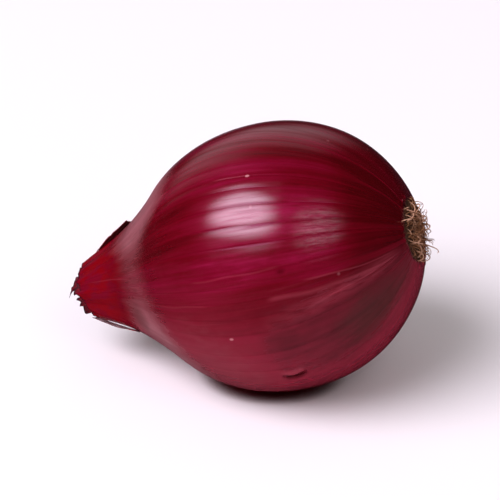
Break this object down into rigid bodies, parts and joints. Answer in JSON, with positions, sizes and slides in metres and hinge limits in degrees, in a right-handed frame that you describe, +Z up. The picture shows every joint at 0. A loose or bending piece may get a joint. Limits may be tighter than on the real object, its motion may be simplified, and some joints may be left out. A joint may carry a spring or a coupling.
{
  "type": "onion",
  "caption": "Whole red onion lying on its side, with a torn papery neck at one end and a tuft of short dry roots on its root plate at the other.",
  "frame": {"origin": "middle of the small flat spot that the onion rests on", "axes": "+Z up; the onion's own axis lies in the XZ plane, with the root end towards +X and 18 degrees up and the neck towards -X and down"},
  "size_m": [0.08, 0.0576, 0.058],
  "materials": {
    "bulb_skin": "gloss",
    "neck_skin": "satin",
    "loose_skin": "satin",
    "root_cork": "matte",
    "dry_root": "matte"
  },
  "bodies": {
    "root": {"bulb": "bulb_skin", "neck_scale_outer": "neck_skin", "neck_scale_inner": "neck_skin", "neck_flap_lower": "loose_skin", "neck_flap_far": "loose_skin", "root_plate": "root_cork", "root_01": "dry_root", "root_02": "dry_root", "root_03": "dry_root", "root_04": "dry_root", "root_05": "dry_root", "root_06": "dry_root", "root_07": "dry_root", "root_08": "dry_root", "root_09": "dry_root", "root_10": "dry_root", "root_11": "dry_root", "root_12": "dry_root", "root_13": "dry_root", "root_14": "dry_root", "root_15": "dry_root", "root_16": "dry_root", "root_17": "dry_root", "root_18": "dry_root", "root_19": "dry_root", "root_20": "dry_root", "root_21": "dry_root", "root_22": "dry_root", "root_23": "dry_root", "root_24": "dry_root"}
  },
  "joints": []
}
